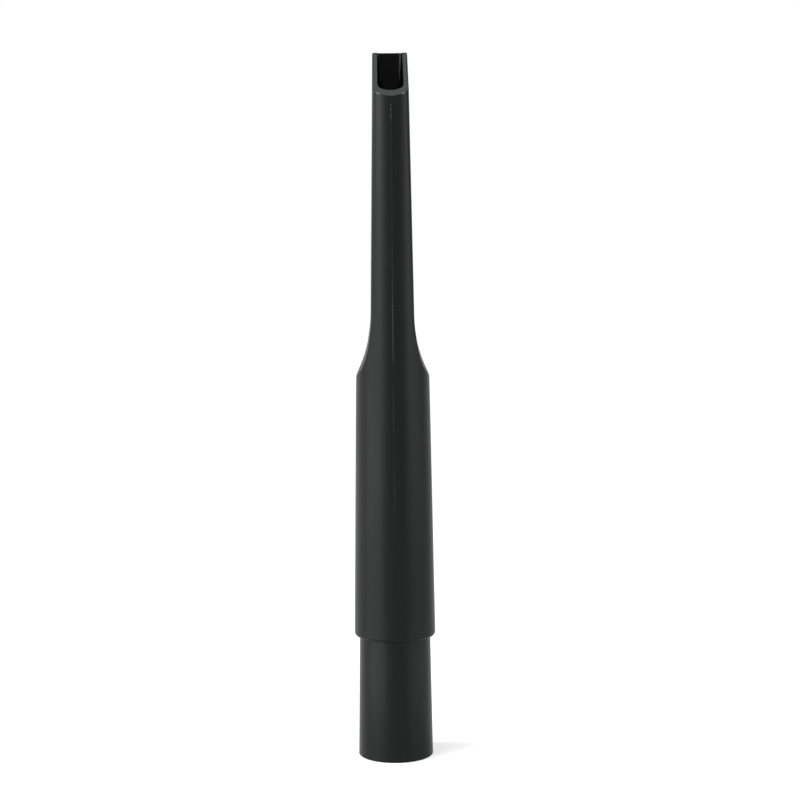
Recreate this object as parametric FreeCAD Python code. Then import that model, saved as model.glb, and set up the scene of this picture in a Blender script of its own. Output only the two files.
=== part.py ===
import FreeCAD, Part
import math
import os

from FreeCAD import Vector

# A vacuum crevice tool: one hollow moulding that stands on its foot, axis along +Z, mouth facing -Y.
# Going up, it is a tapered spigot, a square shoulder, a tapered round body, two scoops that take the
# round body down to a flat nozzle, and a slanted mouth. All sizes are in millimetres and degrees.

# The foot: a socket for the wand's end, inside a spigot that also plugs into a wider tube
socket_diameter = 31.6
spigot_wall = 1.8
spigot_length = 57.8
spigot_draft = 0.97
foot_round = 0.6
socket_lead_in = 0.4

# The round body, which starts at the shoulder and runs on as the nozzle's front and back
shoulder_step = 2.46
shoulder_round = 1.5
body_draft = 0.9
length = 330.0

# The flats that narrow the nozzle, and the scoops that lead into them
mouth_width = 16.1
flat_length = 120.0
flat_draft = 0.92
scoop_radius = 68.6
long_edge_round = 2.3

# The mouth: a slanted cut at the front that leaves a level end at the back
mouth_depth = 20.0
mouth_angle = 45.0
mouth_crease_round = 2.0
lip_round = 0.9

# The walls of the nozzle
front_wall = 2.6
side_wall = 2.3
inner_edge_round = 1.6

# The slack for finding a face or an edge by its place
find_slack = 1e-3


def slope(draft):
    """How far a wall of that draft leans in for each millimetre up."""
    return math.tan(math.radians(draft))


# Radii that follow from the sizes above
socket_radius = socket_diameter / 2
foot_radius = socket_radius + spigot_wall
spigot_top_radius = foot_radius - spigot_length * slope(spigot_draft)
socket_top_radius = spigot_top_radius - spigot_wall
body_radius = spigot_top_radius + shoulder_step
end_radius = body_radius - (length - spigot_length) * slope(body_draft)
passage_end_radius = end_radius - front_wall

# How far a cutting tool runs past what it cuts
overrun = socket_radius


def revolved(outline):
    """Turns an outline of (radius, height) points about the axis, in two halves that meet front and back."""
    corners = [Vector(0, radius, height) for radius, height in outline]
    face = Part.Face(Part.makePolygon(corners + corners[:1]))
    half = face.revolve(Vector(0, 0, 0), Vector(0, 0, 1), 180)
    return half.fuse(mirrored(half))


def mirrored(shape):
    """The same shape on the other side of the tool's middle plane."""
    return shape.mirror(Vector(0, 0, 0), Vector(1, 0, 0))


def side_cutters(inset):
    """The two blocks beside the nozzle, whose faces are its flats and scoops moved in by the inset.

    In front view the flat leans by its draft. The scoop is an arc that leaves the foot of the flat in line
    with it, and swings out until it is clear of the body.
    """
    lean = math.radians(flat_draft)
    outwards = Vector(math.cos(lean), 0, math.sin(lean))
    flat_foot = Vector(mouth_width / 2 + flat_length * slope(flat_draft), 0, length - flat_length)
    centre = flat_foot + outwards * scoop_radius
    radius = scoop_radius + inset

    def on_scoop(turn):
        return centre - Vector(math.cos(turn), 0, math.sin(turn)) * radius

    far_x = body_radius + overrun
    last_turn = math.acos(max((centre.x - far_x) / radius, 0))
    bottom = on_scoop(last_turn)
    scoop_top = on_scoop(lean)
    top_z = length + overrun
    flat_top = Vector(scoop_top.x - (top_z - scoop_top.z) * slope(flat_draft), 0, top_z)
    top_corner = Vector(far_x + overrun, 0, top_z)
    bottom_corner = Vector(far_x + overrun, 0, bottom.z)

    outline = Part.Wire([
        Part.Arc(bottom, on_scoop((lean + last_turn) / 2), scoop_top).toShape(),
        Part.makeLine(scoop_top, flat_top),
        Part.makeLine(flat_top, top_corner),
        Part.makeLine(top_corner, bottom_corner),
        Part.makeLine(bottom_corner, bottom),
    ])
    depth = Vector(0, 2 * far_x, 0)
    face = Part.Face(outline).translated(depth * -0.5)
    right = face.extrude(depth)
    return [right, mirrored(right)]


def mouth_cutter():
    """The wedge in front of the slanted mouth, which leaves the level end behind it."""
    front_z = length - mouth_depth
    front_y = (front_z - spigot_length) * slope(body_draft) - body_radius
    rise = slope(mouth_angle)
    low = Vector(0, front_y - overrun, front_z - overrun * rise)
    high = Vector(0, front_y + (mouth_depth + overrun) / rise, length + overrun)
    outline = Part.makePolygon([low, high, Vector(0, low.y, high.z), low])
    width = Vector(2 * (body_radius + overrun), 0, 0)
    return Part.Face(outline).translated(width * -0.5).extrude(width)


def rim(shape, radius, height):
    """The round edge of that radius at that height."""
    point = Part.Vertex(0, radius, height)
    found = []
    for edge in shape.Edges:
        if edge.BoundBox.ZLength < find_slack and edge.distToShape(point)[0] < find_slack:
            found.append(edge)
    return found


def long_edges(shape):
    """The edges that run up the nozzle where its round front and back meet the flats and scoops."""
    found = []
    for edge in shape.Edges:
        kinds = [type(face.Surface).__name__ for face in shape.ancestorsOfType(edge, Part.Face)]
        if "Cone" in kinds and edge.BoundBox.ZLength > find_slack and len(set(kinds)) == 2:
            found.append(edge)
    return found


def mouth_faces(shape):
    """The slanted face of the mouth, the level end behind it, and the rounding between them."""
    found = []
    for face in shape.Faces:
        normal = face.normalAt(*face.Surface.parameter(face.CenterOfMass))
        if normal.z > find_slack and normal.y < find_slack and abs(normal.x) < find_slack:
            found.append(face)
    return found


def shared_edges(faces, times):
    """The edges that bound so many of the faces: 2 for the joins between them, 1 for their outer edge."""
    edges = [edge for face in faces for edge in face.Edges]
    codes = [edge.hashCode() for edge in edges]
    kept = {code: edge for code, edge in zip(codes, edges) if codes.count(code) == times}
    return list(kept.values())


def outer_form():
    """The outside of the tool, as a solid block."""
    block = revolved([
        (0, 0),
        (foot_radius, 0),
        (spigot_top_radius, spigot_length),
        (body_radius, spigot_length),
        (end_radius, length),
        (0, length),
    ])
    block = block.makeFillet(foot_round, rim(block, foot_radius, 0))
    block = block.makeFillet(shoulder_round, rim(block, body_radius, spigot_length))
    block = block.cut(side_cutters(0)).Solids[0]
    block = block.makeFillet(long_edge_round, long_edges(block))
    block = block.cut(mouth_cutter()).Solids[0]
    block = block.makeFillet(mouth_crease_round, shared_edges(mouth_faces(block), 2))
    return block.makeFillet(lip_round, shared_edges(mouth_faces(block), 1))


def passage():
    """The way that the air takes, from the mouth down to the socket, as a solid core."""
    passage_slope = (socket_top_radius - passage_end_radius) / (length - spigot_length)
    lead_in_radius = socket_radius + socket_lead_in
    core = revolved([
        (0, -overrun),
        (lead_in_radius, -overrun),
        (lead_in_radius, 0),
        (socket_radius - socket_lead_in * slope(spigot_draft), socket_lead_in),
        (socket_top_radius, spigot_length),
        (passage_end_radius - overrun * passage_slope, length + overrun),
        (0, length + overrun),
    ])
    core = core.cut(side_cutters(side_wall)).Solids[0]
    return core.makeFillet(inner_edge_round, long_edges(core))


crevice_tool = outer_form().cut(passage()).Solids[0]

os.makedirs("parts", exist_ok=True)
crevice_tool.exportStep("parts/crevice_tool.step")
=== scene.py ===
import math

import bpy
import numpy as np
from mathutils import Euler, Matrix, Vector


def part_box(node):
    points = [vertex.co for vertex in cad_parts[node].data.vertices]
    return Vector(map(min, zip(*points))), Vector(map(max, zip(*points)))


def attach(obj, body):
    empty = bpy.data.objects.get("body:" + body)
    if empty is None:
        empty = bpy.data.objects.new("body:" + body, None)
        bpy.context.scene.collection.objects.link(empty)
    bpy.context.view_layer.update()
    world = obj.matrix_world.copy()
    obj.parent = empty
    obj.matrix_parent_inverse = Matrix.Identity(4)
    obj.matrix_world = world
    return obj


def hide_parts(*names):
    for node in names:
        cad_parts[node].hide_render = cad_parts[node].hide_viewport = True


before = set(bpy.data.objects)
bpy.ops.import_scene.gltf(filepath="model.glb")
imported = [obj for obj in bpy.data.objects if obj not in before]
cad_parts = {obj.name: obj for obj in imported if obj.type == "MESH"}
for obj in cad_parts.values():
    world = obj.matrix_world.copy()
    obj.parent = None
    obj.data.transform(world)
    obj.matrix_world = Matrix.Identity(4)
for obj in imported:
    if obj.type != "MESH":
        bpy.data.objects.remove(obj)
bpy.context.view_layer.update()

# The moulding: the whole tool is one hollow piece of black plastic, moulded round a long tapered core.
# The mould's two halves part down the front and the back, where they leave a thin line of flash, and the
# slanted mouth, the scoops and the shoulder all come out of the same mould.
tool_low, tool_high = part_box("crevice_tool")
length = tool_high.z - tool_low.z

foot_radius = 0.0176
foot_round = 0.0006
spigot_length = 0.0578
spigot_draft = 0.97
spigot_wall = 0.0018
socket_lead_in = 0.0004

shoulder_step = 0.00246
shoulder_round = 0.0015
shoulder_crease = 0.0002
body_draft = 0.9

mouth_width = 0.0161
flat_length = 0.12
flat_draft = 0.92
scoop_radius = 0.0686
long_edge_round = 0.0023
scoop_end_round = 0.0005
flat_bulge = 0.01
bulge_top = 0.2
bulge_foot = 0.1815
bulge_most = 28.0
bulge_depth = 0.008

mouth_depth = 0.02
mouth_angle = 45.0
mouth_crease_round = 0.002
lip_round = 0.0009
inner_lip_round = 0.0002

front_wall = 0.0026
side_wall = 0.0023
inner_front_round = 0.0026
inner_back_round = 0.0014
back_growth = 0.5

flash_height = 0.00006
flash_width = 0.00013
flash_fade = 0.0012
flash_runs = [
    (0.111, 0.113, 0.4),
    (0.1185, 0.144, 0.4),
    (0.156, 0.177, 0.55),
    (0.1893, 0.220, 0.88),
    (0.220, 0.240, 0.5),
    (0.240, 0.296, 0.3),
    (0.298, 0.3065, 1.0),
]

foot_wear = 0.6
shoulder_wear = 0.1
edge_wear_and_sheen = 0.6
lip_wear_and_sheen = 0.4
# Where round from the front the painted glints sit on the lip's corners, and how far they spread
glint_turn = math.radians(23.0)
glint_spread = math.radians(2.8)


def slope(draft):
    """How far a wall of that draft leans in for each metre up."""
    return math.tan(math.radians(draft))


spigot_top_radius = foot_radius - spigot_length * slope(spigot_draft)
body_radius = spigot_top_radius + shoulder_step
end_radius = body_radius - (length - spigot_length) * slope(body_draft)
socket_radius = foot_radius - spigot_wall
socket_top_radius = spigot_top_radius - spigot_wall
passage_slope = (socket_top_radius - end_radius + front_wall) / (length - spigot_length)
flat_foot = length - flat_length
flat_lean = math.radians(flat_draft)
scoop_x = mouth_width / 2 + flat_length * slope(flat_draft) + scoop_radius * math.cos(flat_lean)
scoop_z = flat_foot + scoop_radius * math.sin(flat_lean)
mouth_low = length - mouth_depth
mouth_front = (mouth_low - spigot_length) * slope(body_draft) - body_radius


def spread(start, *stretches):
    """Values from start onwards, where each stretch (end, count) adds count equal steps up to its end."""
    runs = [np.array([start])]
    for end, count in stretches:
        runs.append(np.linspace(runs[-1][-1], end, count + 1)[1:])
    return np.concatenate(runs)


def arc(centre, radius, start, end, count):
    """Radii and heights of points on a circle about centre, from one angle in degrees to another."""
    angle = np.radians(np.linspace(start, end, count + 1))
    return centre[0] + radius * np.cos(angle), centre[1] + radius * np.sin(angle)


def body_wall(z):
    """Radius of the round body at height z: a cone that leans in by the body's draft."""
    return body_radius - (z - spigot_length) * slope(body_draft)


def passage_wall(z):
    """Radius of the passage at height z: the socket's cone, then a cone that narrows to the mouth."""
    socket = socket_radius - z * slope(spigot_draft)
    passage = socket_top_radius - (z - spigot_length) * passage_slope
    return np.where(z < spigot_length, socket, passage)


def passage_reach(turn, z):
    """Distance from the axis to the passage's front or back, in that direction and at that height.

    Both are round, but up the nozzle the back's circle grows flatter. Its centre moves forward by as much
    as its radius grows, so that the middle of the back stays where it is.
    """
    radius = passage_wall(z)
    share = np.clip((z - flat_foot) / (mouth_low - flat_foot), 0, 1)
    forward = radius * back_growth * share * (np.cos(turn) < 0)
    return np.sqrt((radius + forward) ** 2 - (forward * np.sin(turn)) ** 2) + forward * np.cos(turn)


def half_width(z, inset):
    """Half of the nozzle's width at height z, less the inset.

    Above its foot the flat leans in by its draft. Below, the scoop is an arc that leaves the flat in line
    with it and swings out past the round body.
    """
    flat = mouth_width / 2 + (length - z) * slope(flat_draft) - inset
    reach = np.clip((scoop_radius + inset) ** 2 - (z - scoop_z) ** 2, 0, None)
    return np.where(z > flat_foot, flat, scoop_x - np.sqrt(reach))


def bulge(z):
    """Curvature of the nozzle's sides at height z, one over metres.

    There is next to none on the flats. It grows down the scoop by the power of one and a half, so that the
    scoop runs out in the round body.
    """
    share = np.clip((bulge_top - z) / (bulge_top - bulge_foot), 0, 1)
    return flat_bulge + bulge_most * share ** 1.5


def bulged_half(z):
    """Half of the nozzle's width over the bulge, which stands out by half its own height over its depth."""
    return half_width(z, 0) + bulge(z) * bulge_depth ** 2 / 4


def section(turn, radius, half, rounding, curvature):
    """Distance from the axis to the wall in the direction turn, which is measured from the front.

    The wall is round at that radius, and cut at half to each side by shallow arcs of that curvature. A
    small circle that touches both rounds the corner between them. Where the sides leave the round wall, a
    hyperbola takes one into the other. The second result is how far round the corner the direction is, from
    0 on the round wall to 1 on the side.
    """
    half = (half + radius - np.sqrt((half - radius) ** 2 + scoop_end_round ** 2)) / 2
    side_radius = 1 / curvature
    beyond = side_radius - half
    side = np.abs(np.sin(turn))
    front = np.abs(np.cos(turn))
    corner_x = (half - rounding) * (2 * side_radius - rounding - half) - (radius - rounding) ** 2
    corner_x = corner_x / (2 * beyond)
    corner_y = np.sqrt(np.clip((radius - rounding) ** 2 - corner_x ** 2, 0, None))
    along = side * corner_x + front * corner_y
    reach = along ** 2 - corner_x ** 2 - corner_y ** 2 + rounding ** 2
    corner = along + np.sqrt(np.clip(reach, 0, None))
    grown = side_radius / (side_radius - rounding)
    first = np.arctan2(corner_x, corner_y)
    last = np.arctan2((corner_x + beyond) * grown - beyond, corner_y * grown)
    share = (np.arctan2(side, front) - first) / np.maximum(last - first, 1e-6)
    flank = np.sqrt((beyond * side) ** 2 + half * (2 * side_radius - half)) - beyond * side
    distance = np.where(share < 0, radius, np.where(share > 1, flank, corner))
    return distance, np.clip(share, 0, 1)


def outside(turn, z):
    """Points of the outer wall above the shoulder in that direction and at that height."""
    distance, _ = section(turn, body_wall(z), bulged_half(z), long_edge_round, bulge(z))
    return polar(turn, distance, z)


def inside(turn, z):
    """Points of the passage's wall in that direction and at that height, with tight corners at the back."""
    rounding = np.where(np.cos(turn) < 0, inner_back_round, inner_front_round)
    distance, _ = section(turn, passage_reach(turn, z), half_width(z, side_wall), rounding, bulge(z))
    return polar(turn, distance, z)


def polar(turn, radius, z):
    """Points at that direction from the front, distance from the axis and height."""
    return np.stack(np.broadcast_arrays(radius * np.sin(turn), -radius * np.cos(turn), z), axis=-1)


def mouth_height(y):
    """Height of the mouth at depth y: a slant up from the front lip, an arc, then the level end."""
    slant = mouth_low + (y - mouth_front) * slope(mouth_angle)
    crease_y = mouth_front + mouth_depth / slope(mouth_angle)
    touch = mouth_crease_round * slope(mouth_angle / 2)
    arc_y = np.clip(y - crease_y - touch, -mouth_crease_round, 0)
    rounded = length - mouth_crease_round + np.sqrt(mouth_crease_round ** 2 - arc_y ** 2)
    on_slant = y < crease_y - touch * math.cos(math.radians(mouth_angle))
    return np.where(on_slant, slant, rounded)


def mouth_edge(wall, turn):
    """The closed line where a wall meets the mouth.

    Each direction's height is found by going in turn from the wall's depth to the mouth's height there,
    which settles in a few rounds.
    """
    z = np.full_like(turn, length)
    for _ in range(8):
        z = mouth_height(wall(turn, z)[:, 1])
    return wall(turn, z)


def bend(start, corner, end, count):
    """Rows of points that turn from start to end round a corner, on parabolas that touch both sides."""
    share = np.linspace(0, 1, count + 1)[:, None, None]
    return start * (1 - share) ** 2 + corner * 2 * share * (1 - share) + end * share ** 2


def flash(turn, z):
    """How far the parting line stands up, from 0 to 1.

    It is a narrow bell across the front and back lines, times the strength of each run of height where it
    was left on, which fades in and out at the run's ends.
    """
    across = foot_radius * np.sin(turn) / flash_width
    run = np.zeros_like(z)
    for low, high, strength in flash_runs:
        run = run + strength * (np.tanh((z - low) / flash_fade) - np.tanh((z - high) / flash_fade)) / 2
    return np.exp(-across ** 2) * run


# Directions round the tool, close together at the parting line and at the corners, alike in each quarter
quarter = np.radians(spread(0.0, (0.9, 5), (3.0, 3), (25.5, 11), (41.0, 21), (90.0, 28)))
turn = np.concatenate([
    quarter[:-1],
    np.pi - quarter[:0:-1],
    np.pi + quarter[:-1],
    2 * np.pi - quarter[:0:-1],
])

# Up the foot, the spigot and the shoulder
foot_r, foot_z = arc((foot_radius - foot_round, foot_round), foot_round, -90, 0, 6)
spigot_z = spread(foot_round, (0.0008, 1), (0.057, 12), (spigot_length - shoulder_crease, 1))[1:-1]
spigot_r = foot_radius - spigot_z * slope(spigot_draft)
crease_middle = (spigot_top_radius + shoulder_crease, spigot_length - shoulder_crease)
crease_r, crease_z = arc(crease_middle, shoulder_crease, 180, 90, 4)
ledge_r = spread(spigot_top_radius + shoulder_crease, (body_radius - shoulder_round, 3))[1:-1]
ledge_z = np.full_like(ledge_r, spigot_length)
edge_middle = (body_wall(spigot_length + shoulder_round) - shoulder_round, spigot_length + shoulder_round)
edge_r, edge_z = arc(edge_middle, shoulder_round, -90, 0, 9)
lower_r = np.concatenate([foot_r, spigot_r, crease_r, ledge_r, edge_r])
lower_z = np.concatenate([foot_z, spigot_z, crease_z, ledge_z, edge_z])
lower_rows = polar(turn, lower_r[:, None], lower_z[:, None])

# Up the body and the nozzle to just under the mouth: level rows, closest together where the scoops run out,
# and then rows that are stretched to the slanted lip
level_top = 0.304
level_z = spread(edge_z[-1], (0.06, 1), (0.1785, 68), (0.1855, 28), (0.212, 30), (level_top, 50))[1:, None]
level_rows = outside(turn, level_z)

outer_edge = mouth_edge(outside, turn)
inner_edge = mouth_edge(inside, turn)
ahead = np.roll(outer_edge, -1, axis=0) - np.roll(outer_edge, 1, axis=0)
wall_y = -ahead[:, 0] / np.hypot(ahead[:, 0], ahead[:, 1])
probe = 1e-5
rise = (mouth_height(outer_edge[:, 1] + probe) - mouth_height(outer_edge[:, 1] - probe)) / (2 * probe)
lip_turn = np.arccos(np.clip(-wall_y * rise / np.hypot(1, rise), -1, 1))
lip_reach = lip_round * np.tan(lip_turn / 2)

climb = spread(0.0, (0.6, 3), (0.9, 4), (1.0, 2))[1:, None]
climb_z = level_top + climb * (outer_edge[:, 2] - lip_reach - level_top)
climb_rows = outside(turn, climb_z)

# Over the lip: round its outer edge, across the cut face, round its inner edge
across = np.linalg.norm(inner_edge - outer_edge, axis=1)


def on_mouth(share):
    """Points on the cut face, at that share of the way from the outer edge to the inner one."""
    points = outer_edge + (inner_edge - outer_edge) * share[..., None]
    points[..., 2] = mouth_height(points[..., 1])
    return points


face_start = on_mouth(lip_reach / across)
face_end = on_mouth(1 - inner_lip_round / across)
lip_rows = bend(climb_rows[-1], outer_edge, face_start, 6)[1:]
face_share = spread(0.0, (0.1, 1), (0.9, 2), (1.0, 1))[1:, None]
face_rows = on_mouth(lip_reach / across + face_share * (1 - (inner_lip_round + lip_reach) / across))
passage_top = inside(turn, inner_edge[:, 2] - inner_lip_round)
inner_lip_rows = bend(face_end, inner_edge, passage_top, 3)[1:]

# Down the passage and the socket, and under the foot
sink = spread(1.0, (0.95, 1), (0.0, 5))[1:, None]
sink_rows = inside(turn, level_top + sink * (passage_top[:, 2] - level_top))
passage_z = spread(level_top, (0.212, 8), (0.186, 26), (0.178, 22), (spigot_length, 10), (0.001, 6))
passage_rows = inside(turn, passage_z[1:, None])
lead_share = np.linspace(0, 1, 4)
lead_top = passage_wall(socket_lead_in)
lead_foot = socket_radius + socket_lead_in
lead_land = 0.0001
lead_r = np.append(lead_top + (lead_foot - lead_top) * lead_share, lead_foot + lead_land)
lead_z = np.append(socket_lead_in * (1 - lead_share), 0.0)
lead_rows = polar(turn, lead_r[:, None], lead_z[:, None])

outer_rows = np.concatenate([lower_rows, level_rows, climb_rows])
bump = flash_height * flash(turn, outer_rows[..., 2])
plan = outer_rows[..., :2]
outer_rows[..., :2] = plan * (1 + bump / np.linalg.norm(plan, axis=-1))[..., None]
inner_rows = np.concatenate([inner_lip_rows, sink_rows, passage_rows, lead_rows])
rows = np.concatenate([outer_rows, lip_rows, face_rows, inner_rows])


def closed_grid(name, rows):
    """A mesh from a grid of points that closes on itself both ways, as a ring does."""
    count = rows.shape[:2]
    index = np.arange(count[0] * count[1]).reshape(count)
    ahead = np.roll(index, -1, axis=1)
    quads = np.stack([index, ahead, np.roll(ahead, -1, axis=0), np.roll(index, -1, axis=0)], axis=-1)
    mesh = bpy.data.meshes.new(name)
    mesh.from_pydata(rows.reshape(-1, 3).tolist(), [], quads.reshape(-1, 4).tolist())
    mesh.polygons.foreach_set("use_smooth", np.ones(len(mesh.polygons), bool))
    return mesh


moulding_mesh = closed_grid("moulding", rows)


def mark(mesh, name, values):
    """Puts one value on each point of the mesh, for its material to read by that name."""
    layer = mesh.attributes.new(name, "FLOAT", "POINT")
    layer.data.foreach_set("value", values.astype(np.float32).ravel())


# Marks for the material: the flash, which carries a painted highlight, the edges that hands rub, which are
# paled partly as painted sheen, and a painted glint on the front corners of the lip
grid = rows.shape[:2]
flash_mark = np.zeros(grid)
flash_mark[:len(outer_rows)] = flash(turn, outer_rows[..., 2])
mark(moulding_mesh, "flash", flash_mark)

foot_rub = foot_wear * np.sin(np.linspace(0, np.pi, len(foot_r)))
shoulder_rub = shoulder_wear * np.sin(np.linspace(0, np.pi, len(edge_r)))
lip_bell = np.sin(np.linspace(0, np.pi, len(lip_rows) + 1)[1:])
wall_z = outer_rows[len(lower_r):, :, 2]
_, corner_share = section(turn, body_wall(wall_z), bulged_half(wall_z), long_edge_round, bulge(wall_z))
rub_and_sheen_mark = np.zeros(grid)
rub_and_sheen_mark[:len(foot_r)] = foot_rub[:, None]
rub_and_sheen_mark[len(lower_r) - len(edge_r):len(lower_r)] = shoulder_rub[:, None]
rub_and_sheen_mark[len(lower_r):len(outer_rows)] = edge_wear_and_sheen * corner_share * (1 - corner_share)
rub_and_sheen_mark[len(outer_rows):len(outer_rows) + len(lip_rows)] = lip_wear_and_sheen * lip_bell[:, None]
mark(moulding_mesh, "rub_and_sheen", rub_and_sheen_mark)

# A painted glint on the lip's two front corners, in a narrow band of directions to each side of the front
from_front = np.abs((turn + np.pi) % (2 * np.pi) - np.pi)
lip_glint = np.exp(-((from_front - glint_turn) / glint_spread) ** 2)
painted_glint_mark = np.zeros(grid)
painted_glint_mark[len(outer_rows):len(outer_rows) + len(lip_rows)] = lip_bell[:, None] * lip_glint
mark(moulding_mesh, "painted_glint", painted_glint_mark)

# The passage gets a plastic of its own, a darker copy that is painted shade, from the inner lip down to the
# socket's lead-in
passage_start = len(rows) - len(inner_rows) + len(inner_lip_rows) - 1
passage_faces = np.zeros(grid, np.int32)
passage_faces[passage_start:-len(lead_rows)] = 1
moulding_mesh.polygons.foreach_set("material_index", passage_faces.ravel())

moulding = bpy.data.objects.new("moulding", moulding_mesh)
bpy.context.scene.collection.objects.link(moulding)


def stretched(tree, scale, turned=(0, 0, 0)):
    """The object's own coordinates, stretched and then turned for a pattern."""
    place = tree.nodes.new("ShaderNodeTexCoord")
    mapping = tree.nodes.new("ShaderNodeMapping")
    mapping.inputs["Rotation"].default_value = turned
    mapping.inputs["Scale"].default_value = scale
    tree.links.new(place.outputs["Object"], mapping.inputs["Vector"])
    return mapping.outputs["Vector"]


def noise(tree, vector, detail):
    """A cloudy pattern from 0 to 1, one cloud to each unit of the vector."""
    texture = tree.nodes.new("ShaderNodeTexNoise")
    texture.inputs["Scale"].default_value = 1.0
    texture.inputs["Detail"].default_value = detail
    tree.links.new(vector, texture.inputs["Vector"])
    return texture.outputs["Fac"]


def ranged(tree, value, low, high, new_low, new_high):
    """A value moved from one range to another and held inside it."""
    change = tree.nodes.new("ShaderNodeMapRange")
    change.inputs["From Min"].default_value = low
    change.inputs["From Max"].default_value = high
    change.inputs["To Min"].default_value = new_low
    change.inputs["To Max"].default_value = new_high
    tree.links.new(value, change.inputs["Value"])
    return change.outputs["Result"]


def worked(tree, operation, first, second):
    """The result of one operation on two values, the second of which may be a plain number."""
    step = tree.nodes.new("ShaderNodeMath")
    step.operation = operation
    tree.links.new(first, step.inputs[0])
    if isinstance(second, float):
        step.inputs[1].default_value = second
    else:
        tree.links.new(second, step.inputs[1])
    return step.outputs["Value"]


def marked(tree, name):
    """One of the marks on the mesh."""
    attribute = tree.nodes.new("ShaderNodeAttribute")
    attribute.attribute_name = name
    return attribute.outputs["Fac"]


def between(tree, share, first, second):
    """A colour that goes from a first one, which may be another result, to a second by a share."""
    mix = tree.nodes.new("ShaderNodeMix")
    mix.data_type = "RGBA"
    factor, first_colour, second_colour = mix.inputs[0], mix.inputs[6], mix.inputs[7]
    tree.links.new(share, factor)
    if isinstance(first, tuple):
        first_colour.default_value = first
    else:
        tree.links.new(first, first_colour)
    second_colour.default_value = second
    return mix.outputs[2]


# The skin that the mould's steel gives the plastic: a fine grain, and long streaks along the flow
skin = bpy.data.node_groups.new("moulded_skin", "ShaderNodeTree")
skin.interface.new_socket("Grain", in_out="INPUT", socket_type="NodeSocketFloat")
skin.interface.new_socket("Streak", in_out="INPUT", socket_type="NodeSocketFloat")
skin.interface.new_socket("Streaks", in_out="OUTPUT", socket_type="NodeSocketFloat")
skin.interface.new_socket("Height", in_out="OUTPUT", socket_type="NodeSocketFloat")
amounts = skin.nodes.new("NodeGroupInput")
results = skin.nodes.new("NodeGroupOutput")
grain = noise(skin, stretched(skin, (2400, 2400, 2400)), 2.0)
streaks = noise(skin, stretched(skin, (260, 260, 9)), 4.0)
grain_height = worked(skin, "MULTIPLY", grain, amounts.outputs["Grain"])
streak_height = worked(skin, "MULTIPLY", streaks, amounts.outputs["Streak"])
skin.links.new(ranged(skin, streaks, 0.3, 0.7, 0.0, 1.0), results.inputs["Streaks"])
skin.links.new(worked(skin, "ADD", grain_height, streak_height), results.inputs["Height"])


def plastic(name, grain_amount, streak_amount):
    """A new material on the moulding, with the moulded skin in those amounts.

    The results are its nodes, its shader, and the skin's streaks and height.
    """
    material = bpy.data.materials.new(name)
    material.use_nodes = True
    tree = material.node_tree
    skin_node = tree.nodes.new("ShaderNodeGroup")
    skin_node.node_tree = skin
    skin_node.inputs["Grain"].default_value = grain_amount
    skin_node.inputs["Streak"].default_value = streak_amount
    moulding_mesh.materials.append(material)
    return tree, tree.nodes["Principled BSDF"], skin_node.outputs["Streaks"], skin_node.outputs["Height"]


def relief(tree, height, depth, surface):
    """Puts a height on the surface as fine relief of that depth in metres."""
    bump = tree.nodes.new("ShaderNodeBump")
    bump.inputs["Strength"].default_value = 0.12
    bump.inputs["Distance"].default_value = depth
    tree.links.new(height, bump.inputs["Height"])
    tree.links.new(bump.outputs["Normal"], surface.inputs["Normal"])


# Outside: near black with a cool cast, paler where it is scuffed or nicked and on rubbed edges, which is
# partly painted sheen, with a painted highlight on the seam and painted glints at the lip's corners
outer, surface, streaks, height = plastic("black_plastic", 1.0, 0.6)
surface.inputs["Specular IOR Level"].default_value = 0.105

patches = noise(outer, stretched(outer, (42, 42, 20)), 3.0)
fine_lines = noise(outer, stretched(outer, (1500, 1500, 42), (0.35, 0.20, 0)), 2.0)
wide_lines = noise(outer, stretched(outer, (1300, 1300, 50), (1.2, -0.5, 0.3)), 2.0)
scuff_lines = ranged(outer, worked(outer, "MAXIMUM", fine_lines, wide_lines), 0.66, 0.76, 0.0, 1.0)
scuff_places = ranged(outer, noise(outer, stretched(outer, (75, 75, 55)), 1.0), 0.52, 0.68, 0.0, 1.0)
scuffs = worked(outer, "MULTIPLY", scuff_lines, scuff_places)
spots = outer.nodes.new("ShaderNodeTexVoronoi")
spots.inputs["Scale"].default_value = 1.0
outer.links.new(stretched(outer, (450, 450, 450)), spots.inputs["Vector"])
nick_spots = ranged(outer, spots.outputs["Distance"], 0.05, 0.16, 1.0, 0.0)
heights = outer.nodes.new("ShaderNodeSeparateXYZ")
outer.links.new(stretched(outer, (1, 1, 1)), heights.inputs["Vector"])
near_mouth = ranged(outer, heights.outputs["Z"], 0.24, 0.31, 0.0, 0.3)
nick_places = worked(outer, "ADD", noise(outer, stretched(outer, (95, 95, 95)), 1.0), near_mouth)
nicks = worked(outer, "MULTIPLY", nick_spots, ranged(outer, nick_places, 0.78, 0.86, 0.0, 1.0))

# The flash came out in beads, but between the scoops it runs on as an even line.
# Its pale colour is a painted highlight of that ridge.
seam_highlight_even = 0.55
beads = ranged(outer, noise(outer, stretched(outer, (0, 0, 900)), 1.0), 0.46, 0.58, 0.15, 1.0)
even_foot = ranged(outer, heights.outputs["Z"], 0.180, 0.188, 0.0, seam_highlight_even)
even_top = ranged(outer, heights.outputs["Z"], 0.213, 0.219, seam_highlight_even, 0.0)
beads = worked(outer, "MAXIMUM", beads, worked(outer, "MINIMUM", even_foot, even_top))
painted_seam_highlight = worked(outer, "MULTIPLY", marked(outer, "flash"), beads)

# Rubbed edges: real wear that is smoother, and a lighter colour that is partly a painted sheen on the edges
rubbed_and_sheen = worked(outer, "MULTIPLY", marked(outer, "rub_and_sheen"), ranged(outer, patches, 0.3, 0.7, 0.6, 1.0))

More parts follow.
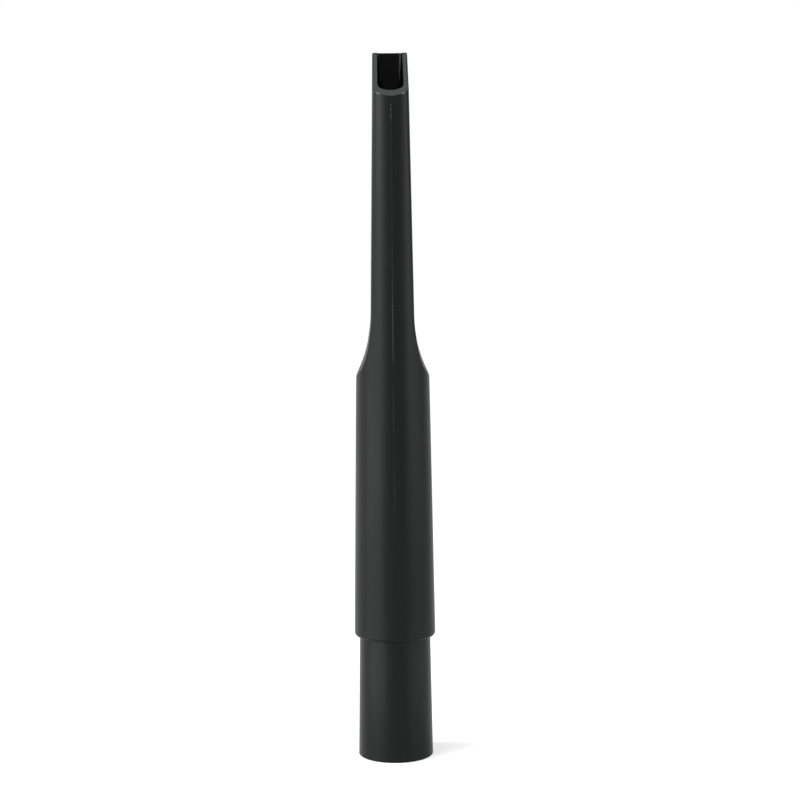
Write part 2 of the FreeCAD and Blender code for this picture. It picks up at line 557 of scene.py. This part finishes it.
colour = between(outer, streaks, (0.0037, 0.0045, 0.0044, 1), (0.0049, 0.0059, 0.0058, 1))
colour = between(outer, worked(outer, "MULTIPLY", scuffs, 0.14), colour, (0.06, 0.06, 0.06, 1))
colour = between(outer, worked(outer, "MULTIPLY", nicks, 0.5), colour, (0.06, 0.062, 0.06, 1))
# Paler on rubbed edges: partly wear, partly painted sheen
colour = between(outer, worked(outer, "MULTIPLY", rubbed_and_sheen, 0.2), colour, (0.03, 0.031, 0.03, 1))
# Painted highlight along the flash ridge of the seam
colour = between(outer, painted_seam_highlight, colour, (0.068, 0.070, 0.068, 1))
# Painted glint: the lip's front corners made pale to stand in for the lamps' glints there
colour = between(outer, marked(outer, "painted_glint"), colour, (0.16, 0.16, 0.156, 1))
outer.links.new(colour, surface.inputs["Base Color"])

rough = ranged(outer, patches, 0.3, 0.7, 0.34, 0.39)
rough = worked(outer, "ADD", rough, worked(outer, "MULTIPLY", scuffs, 0.12))
rough = worked(outer, "SUBTRACT", rough, worked(outer, "MULTIPLY", rubbed_and_sheen, 0.14))
outer.links.new(rough, surface.inputs["Roughness"])
relief(outer, worked(outer, "SUBTRACT", height, nicks), 0.00005, surface)

# Inside: the same plastic off the polished core, smoother, with little but the flow's streaks. It is
# blacker and reflects less than outside, as painted shade for the dim passage
inner, surface, streaks, height = plastic("passage_plastic_painted_shade", 0.2, 1.0)
# Weaker reflection and a blacker colour than outside: painted shade in the passage
surface.inputs["Specular IOR Level"].default_value = 0.05
colour = between(inner, streaks, (0.0018, 0.0020, 0.0020, 1), (0.0030, 0.0032, 0.0032, 1))
inner.links.new(colour, surface.inputs["Base Color"])
inner.links.new(ranged(inner, streaks, 0.0, 1.0, 0.11, 0.15), surface.inputs["Roughness"])
relief(inner, height, 0.00003, surface)

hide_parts("crevice_tool")
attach(moulding, "root")

# The floor: a wide white sheet of matt card that the tool stands on. It glows more with the distance, where
# less light falls on it, so that it shows as white all over and keeps a soft shadow beside the foot.
floor_reach = 3.0
card_grey = 0.5
glow_near = 0.52
glow_far = 0.86
near = 0.1
far = 1.4
floor_mesh = bpy.data.meshes.new("floor")
floor_corners = np.array([(-1, -1, 0), (1, -1, 0), (1, 1, 0), (-1, 1, 0)]) * floor_reach
floor_mesh.from_pydata(floor_corners.tolist(), [], [(0, 1, 2, 3)])
floor = bpy.data.objects.new("floor", floor_mesh)
bpy.context.scene.collection.objects.link(floor)


def seen_straight(tree):
    """1 for what the camera sees, also in a reflection or through glass, and 0 for light that falls."""
    path = tree.nodes.new("ShaderNodeLightPath")
    mirrored = worked(tree, "MAXIMUM", path.outputs["Is Camera Ray"], path.outputs["Is Glossy Ray"])
    return worked(tree, "MAXIMUM", mirrored, path.outputs["Is Transmission Ray"])


white_card = bpy.data.materials.new("white_card")
white_card.use_nodes = True
card_tree = white_card.node_tree
card = card_tree.nodes["Principled BSDF"]
card.inputs["Base Color"].default_value = (card_grey, card_grey, card_grey, 1)
card.inputs["Roughness"].default_value = 0.9
card.inputs["Specular IOR Level"].default_value = 0.0
card.inputs["Emission Color"].default_value = (1, 1, 1, 1)
away = card_tree.nodes.new("ShaderNodeVectorMath")
away.operation = "LENGTH"
card_tree.links.new(stretched(card_tree, (1, 1, 1)), away.inputs["Vector"])
glow = ranged(card_tree, away.outputs["Value"], near, far, glow_near, glow_far)
seen_glow = worked(card_tree, "MULTIPLY", seen_straight(card_tree), glow)
card_tree.links.new(seen_glow, card.inputs["Emission Strength"])
floor_mesh.materials.append(white_card)

# The studio: a white room that shows as pure white and lights the tool softly. Lamps at both sides draw
# the long highlights, a slim one shows inside the mouth, and low ones light the spigot. A panel behind at
# the left lights that edge, and lamps overhead light the cut of the mouth.
room_light = 0.28
room_seen = 1.0
studio = bpy.data.worlds.new("studio")
studio.use_nodes = True
bpy.context.scene.world = studio
room = studio.node_tree.nodes["Background"]
room.inputs["Color"].default_value = (1, 1, 1, 1)
strength = ranged(studio.node_tree, seen_straight(studio.node_tree), 0.0, 1.0, room_light, room_seen)
studio.node_tree.links.new(strength, room.inputs["Strength"])


def soft_lamp(name, bearing, away, height, aim, width, tall, power):
    """A rectangular soft lamp that stands so far away from the axis and faces a height on it.

    The bearing is in degrees, from the camera's side towards the right.
    """
    angle = math.radians(bearing)
    place = Vector((away * math.sin(angle), -away * math.cos(angle), height))
    light = bpy.data.lights.new(name, "AREA")
    light.shape = "RECTANGLE"
    light.size = width
    light.size_y = tall
    light.energy = power
    lamp = bpy.data.objects.new(name, light)
    lamp.location = place
    lamp.rotation_euler = (Vector((0, 0, aim)) - place).to_track_quat("-Z", "Y").to_euler()
    bpy.context.scene.collection.objects.link(lamp)


# Name, bearing, distance, height, height that it faces, width, height of the panel and watts
lamps = [
    ("back_panel", -135, 1.0, 0.25, 0.2, 0.45, 0.70, 0.40),
    ("side_lamp", -92, 1.0, 0.555, 0.2, 0.20, 0.20, 11.0),
    ("key_lamp", -43, 1.0, 0.40, 0.30, 0.24, 0.26, 4.9),
    ("slim_lamp", -31, 1.0, 0.42, 0.32, 0.035, 0.30, 1.1),
    ("left_strip", -60, 1.0, 0.04, 0.1, 0.95, 0.06, 4.0),
    ("high_left_lamp", -50, 1.0, 1.25, 0.31, 0.20, 0.20, 3.0),
    ("fill_lamp", 54, 1.0, 0.34, 0.25, 0.14, 0.22, 2.2),
    ("right_strip", 67, 1.0, 0.09, 0.1, 0.85, 0.15, 2.0),
    ("high_right_lamp", 50, 1.0, 1.25, 0.31, 0.20, 0.20, 2.0),
    ("low_left_lamp", -58, 0.13, 0.016, 0.03, 0.14, 0.025, 0.042),
    ("low_right_lamp", 66, 0.13, 0.016, 0.03, 0.14, 0.025, 0.019),
]
for lamp in lamps:
    soft_lamp(*lamp)

top_light = bpy.data.lights.new("top_lamp", "AREA")
top_light.shape = "SQUARE"
top_light.size = 0.5
top_light.energy = 7.2
top_lamp = bpy.data.objects.new("top_lamp", top_light)
top_lamp.location = (-0.05, -0.15, 1.25)
bpy.context.scene.collection.objects.link(top_lamp)

# The camera: a long lens a metre away, a little below the tool's top and pitched down at its middle.
# The picture leans by under half a degree, and the tool is turned by about one.
lens_data = bpy.data.cameras.new("camera")
lens_data.sensor_width = 36.0
lens_data.lens = 99.0
camera = bpy.data.objects.new("camera", lens_data)
bpy.context.scene.collection.objects.link(camera)
picture_lean = Matrix.Rotation(math.radians(0.4935), 4, "Y")
tool_turn = Matrix.Rotation(math.radians(-1.2), 4, "Z")
stand = Matrix.Translation((0.0018276, -1.01984, 0.29604))
pitch = Euler((math.radians(90 - 7.0766), 0, 0)).to_matrix().to_4x4()
camera.matrix_world = tool_turn @ picture_lean @ stand @ pitch
bpy.context.scene.camera = camera

bpy.context.scene.view_settings.view_transform = "Standard"
